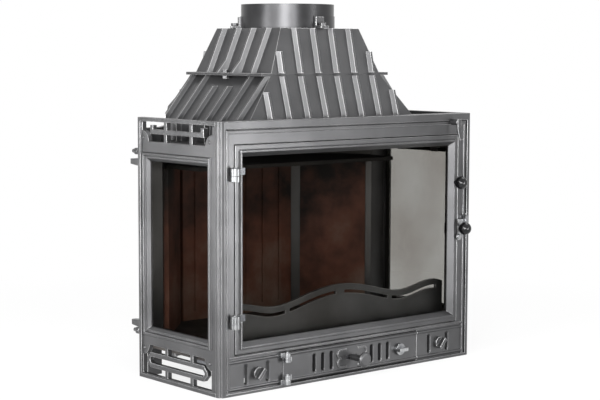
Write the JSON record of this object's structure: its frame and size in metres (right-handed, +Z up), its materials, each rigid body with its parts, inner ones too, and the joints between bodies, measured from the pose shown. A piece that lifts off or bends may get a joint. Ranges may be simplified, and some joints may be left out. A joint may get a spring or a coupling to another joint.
{
  "type": "fireplace insert",
  "caption": "Cast-iron three-sided wood-burning fireplace insert with glazed door and sides, ash door, air controls, ribbed smoke hood and round flue collar.",
  "frame": {"origin": "on the floor, directly below the flue's axis", "axes": "+X to the right seen from the front, +Y from the front to the rear wall, +Z up"},
  "size_m": [0.701, 0.458, 0.774],
  "materials": {
    "frame_iron": "satin graphite stove paint",
    "hood_iron": "satin graphite stove paint",
    "fire_iron": "bare, sooted casting",
    "sheet_steel": "dull black sheet",
    "bright_steel": "plain machined steel",
    "fire_glass": "clear glass ceramic",
    "seal_rope": "woven glass-fibre tape",
    "ball_black": "black moulded knob"
  },
  "bodies": {
    "insert": {"front_frame": "frame_iron", "left_side_panel": "frame_iron", "right_side_panel": "frame_iron", "rear_shell": "hood_iron", "hearth_plate": "fire_iron", "top_deck": "hood_iron", "lower_hood": "hood_iron", "upper_hood": "hood_iron", "hood_bolts": "bright_steel", "hood_nuts": "bright_steel", "flue_collar": "hood_iron", "collar_clamps": "hood_iron", "collar_bolts": "bright_steel", "left_side_glass": "fire_glass", "right_side_glass": "fire_glass", "left_glass_seal": "seal_rope", "right_glass_seal": "seal_rope", "left_glass_clips": "bright_steel", "right_glass_clips": "bright_steel", "rear_clamp_bolts": "bright_steel", "back_liner": "fire_iron", "left_liner": "fire_iron", "right_liner": "fire_iron", "baffle_plate": "fire_iron", "fire_grate": "fire_iron", "log_guard": "fire_iron", "ash_box": "sheet_steel", "ash_pan": "sheet_steel", "door_hinge_brackets": "bright_steel", "door_hinge_pins": "bright_steel", "door_keeper": "bright_steel", "ash_hinge_brackets": "bright_steel", "ash_hinge_pins": "bright_steel", "ash_keeper": "sheet_steel", "air_wash_plate": "sheet_steel"},
    "main_door": {"door_frame": "frame_iron", "door_glass": "fire_glass", "door_glass_seal": "seal_rope", "door_glass_clips": "bright_steel", "door_rope_seal": "seal_rope", "door_hinge_straps": "bright_steel", "door_knob": "ball_black", "latch_pivot": "bright_steel"},
    "door_latch": {"latch_lever": "bright_steel", "latch_ball": "ball_black"},
    "ash_door": {"ash_door_panel": "frame_iron", "ash_hinge_leaves": "bright_steel", "slide_guides": "sheet_steel"},
    "primary_air": {"air_slide": "sheet_steel", "slide_knob": "bright_steel"},
    "ash_latch": {"ash_latch_knob": "bright_steel", "ash_latch_cam": "bright_steel"},
    "left_air": {"left_air_knob": "bright_steel", "left_air_shutter": "sheet_steel"},
    "right_air": {"right_air_knob": "bright_steel", "right_air_shutter": "sheet_steel"},
    "air_wash_control": {"air_wash_lever": "bright_steel"},
    "air_wash": {"air_wash_shutter": "sheet_steel", "shutter_fork": "sheet_steel"}
  },
  "joints": [
    {"name": "door_swing", "type": "hinge", "parent": "insert", "child": "main_door", "pos_m": [-0.318, -0.2245, 0.29], "axis": [0, 0, -1], "range_deg": [0, 110]},
    {"name": "latch_turn", "type": "hinge", "parent": "main_door", "child": "door_latch", "pos_m": [0.304, -0.224, 0.27], "axis": [0, 1, 0], "range_deg": [0, 20]},
    {"name": "ash_door_swing", "type": "hinge", "parent": "insert", "child": "ash_door", "pos_m": [-0.185, -0.2235, 0.04], "axis": [0, 0, -1], "range_deg": [0, 110]},
    {"name": "primary_air_slide", "type": "slide", "parent": "ash_door", "child": "primary_air", "axis": [1, 0, 0], "range_m": [-0.0115, 0.0115]},
    {"name": "ash_latch_turn", "type": "hinge", "parent": "ash_door", "child": "ash_latch", "pos_m": [0.135, -0.2125, 0.0385], "axis": [0, 1, 0], "range_deg": [0, 90]},
    {"name": "left_air_turn", "type": "hinge", "parent": "insert", "child": "left_air", "pos_m": [-0.2545, -0.2125, 0.0385], "axis": [0, 1, 0], "range_deg": [0, 90]},
    {"name": "right_air_turn", "type": "hinge", "parent": "insert", "child": "right_air", "pos_m": [0.2545, -0.2125, 0.0385], "axis": [0, 1, 0], "range_deg": [0, 90]},
    {"name": "air_wash_turn", "type": "hinge", "parent": "insert", "child": "air_wash_control", "pos_m": [0.2855, -0.2125, 0.522], "axis": [0, 1, 0], "range_deg": [-25, 25]},
    {"name": "air_wash_slide", "type": "slide", "parent": "insert", "child": "air_wash", "axis": [1, 0, 0], "range_m": [-0.0056, 0.0056]}
  ],
  "couplings": [
    {"joint": "air_wash_turn", "follows": "air_wash_slide", "rad_per_m": -76.9}
  ]
}
